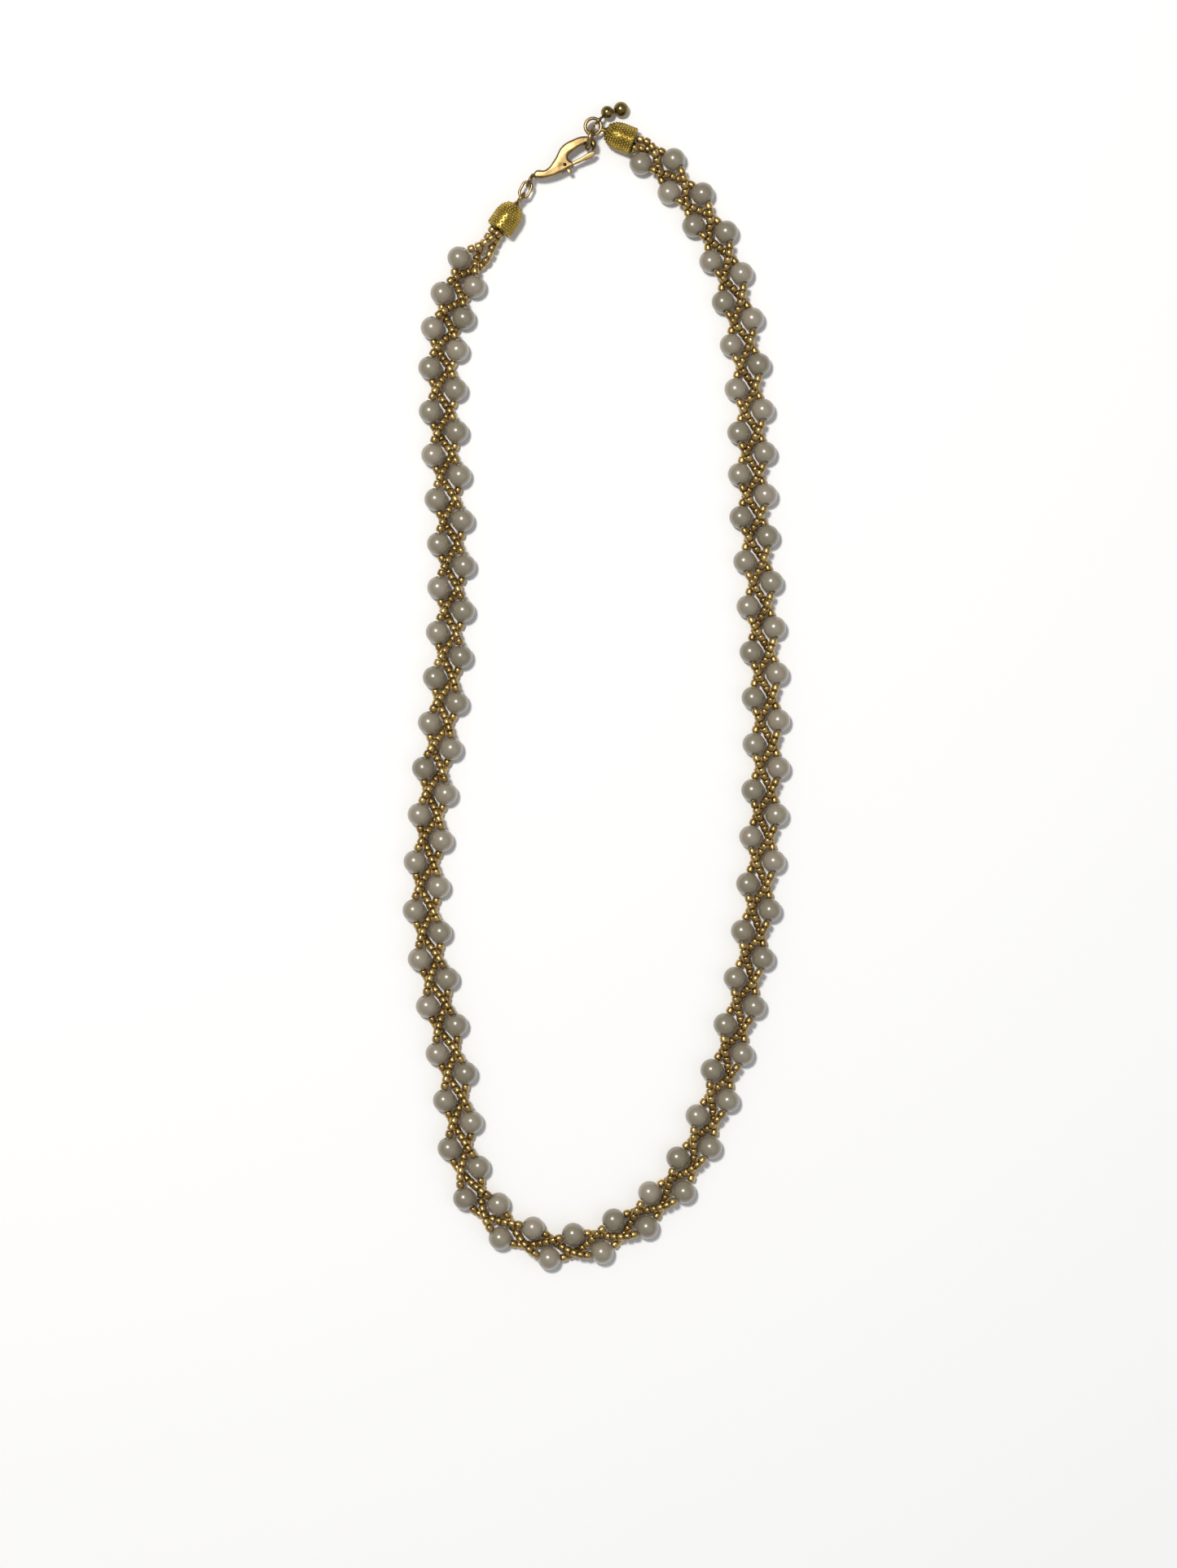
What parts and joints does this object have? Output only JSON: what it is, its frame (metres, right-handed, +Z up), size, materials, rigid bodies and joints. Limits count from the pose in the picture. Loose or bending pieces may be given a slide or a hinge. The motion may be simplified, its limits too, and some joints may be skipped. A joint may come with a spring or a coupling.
{
  "type": "plaited pearl necklace",
  "caption": "Short necklace of pearls and fine gold seed beads plaited flat on three strands, closed at the back by a small lever clasp and beaded end caps.",
  "frame": {"origin": "centre of the necklace's box on the table it lies on", "axes": "+Y from the front of the necklace to its clasp, +X to the wearer's side with the right cap, +Z up from the table"},
  "size_m": [0.0668, 0.2009, 0.0049],
  "materials": {
    "pearl": "pearl lustre, satin",
    "gold_seed": "polished gold plate, slightly dulled",
    "gold_wire": "polished gold plate",
    "gold_cap": "bright granulated gold plate",
    "gold_clasp": "polished gold plate, lightly worn",
    "spring_steel": "bright wire",
    "thread": "waxed beading thread"
  },
  "bodies": {
    "front": {"pearls_outer_front": "pearl", "pearls_inner_front": "pearl", "seeds_a_front": "gold_seed", "seeds_b_front": "gold_seed", "seeds_c_front": "gold_seed", "threads_front": "thread"},
    "left_side": {"pearls_outer_left_side": "pearl", "pearls_inner_left_side": "pearl", "seeds_a_left_side": "gold_seed", "seeds_b_left_side": "gold_seed", "seeds_c_left_side": "gold_seed", "threads_left_side": "thread"},
    "left_end": {"pearls_outer_left_end": "pearl", "pearls_inner_left_end": "pearl", "seeds_a_left_end": "gold_seed", "seeds_b_left_end": "gold_seed", "seeds_c_left_end": "gold_seed", "threads_left_end": "thread", "left_cap": "gold_cap", "left_eye_pin": "gold_wire", "left_knot": "thread"},
    "right_side": {"pearls_outer_right_side": "pearl", "pearls_inner_right_side": "pearl", "seeds_a_right_side": "gold_seed", "seeds_b_right_side": "gold_seed", "seeds_c_right_side": "gold_seed", "threads_right_side": "thread"},
    "right_end": {"pearls_outer_right_end": "pearl", "pearls_inner_right_end": "pearl", "seeds_a_right_end": "gold_seed", "seeds_b_right_end": "gold_seed", "seeds_c_right_end": "gold_seed", "threads_right_end": "thread", "right_cap": "gold_cap", "right_eye_pin": "gold_wire", "right_knot": "thread"},
    "link_ring": {"link_ring": "gold_wire"},
    "clasp": {"clasp_body": "gold_clasp", "clasp_rivet": "gold_clasp", "clasp_spring": "spring_steel"},
    "lever": {"clasp_lever": "gold_clasp"},
    "hook_ring": {"hook_ring": "gold_wire"},
    "drop": {"drop_pin": "gold_wire", "drop_ball_small": "gold_wire", "drop_ball_large": "gold_wire"}
  },
  "joints": [
    {"name": "left_side_sway", "type": "hinge", "parent": "front", "child": "left_side", "pos_m": [-0.02342, -0.0772, 0.002], "axis": [0, 0, 1], "range_deg": [-2.2, 2.2]},
    {"name": "left_end_bend", "type": "hinge", "parent": "left_side", "child": "left_end", "pos_m": [-0.0255, 0.06249, 0.002], "axis": [0, 0, 1], "range_deg": [-2.3, 2.3]},
    {"name": "right_side_sway", "type": "hinge", "parent": "front", "child": "right_side", "pos_m": [0.02252, -0.06472, 0.002], "axis": [0, 0, 1], "range_deg": [-2.3, 2.3]},
    {"name": "right_end_bend", "type": "hinge", "parent": "right_side", "child": "right_end", "pos_m": [0.02108, 0.07536, 0.002], "axis": [0, 0, 1], "range_deg": [-2.3, 2.3]},
    {"name": "link_swing", "type": "hinge", "parent": "left_end", "child": "link_ring", "pos_m": [-0.01279, 0.08396, 0.00245], "axis": [0, 0, 1], "range_deg": [-5, 5]},
    {"name": "clasp_swing", "type": "hinge", "parent": "link_ring", "child": "clasp", "pos_m": [-0.01152, 0.08645, 0.00245], "axis": [0, 0, 1], "range_deg": [-6.2, 6.2]},
    {"name": "lever_hinge", "type": "hinge", "parent": "clasp", "child": "lever", "pos_m": [-0.00539, 0.08938, 0.00245], "axis": [0, 0, -1], "range_deg": [0, 30], "stiffness_Nm_per_rad": 0.0002, "springref_deg": -17.19},
    {"name": "hook_ring_swing", "type": "hinge", "parent": "right_end", "child": "hook_ring", "pos_m": [-0.00053, 0.09606, 0.00245], "axis": [0, 0, 1], "range_deg": [-5, 2]},
    {"name": "drop_swing", "type": "hinge", "parent": "right_end", "child": "drop", "pos_m": [0.00042, 0.09705, 0.00245], "axis": [0, 0, 1], "range_deg": [-2, 20]}
  ],
  "couplings": [
    {"joint": "left_end_bend", "follows": "left_side_sway", "ratio": -1},
    {"joint": "right_side_sway", "follows": "left_side_sway", "ratio": 1},
    {"joint": "right_end_bend", "follows": "left_side_sway", "ratio": -1},
    {"joint": "clasp_swing", "follows": "link_swing", "ratio": -1.22}
  ]
}
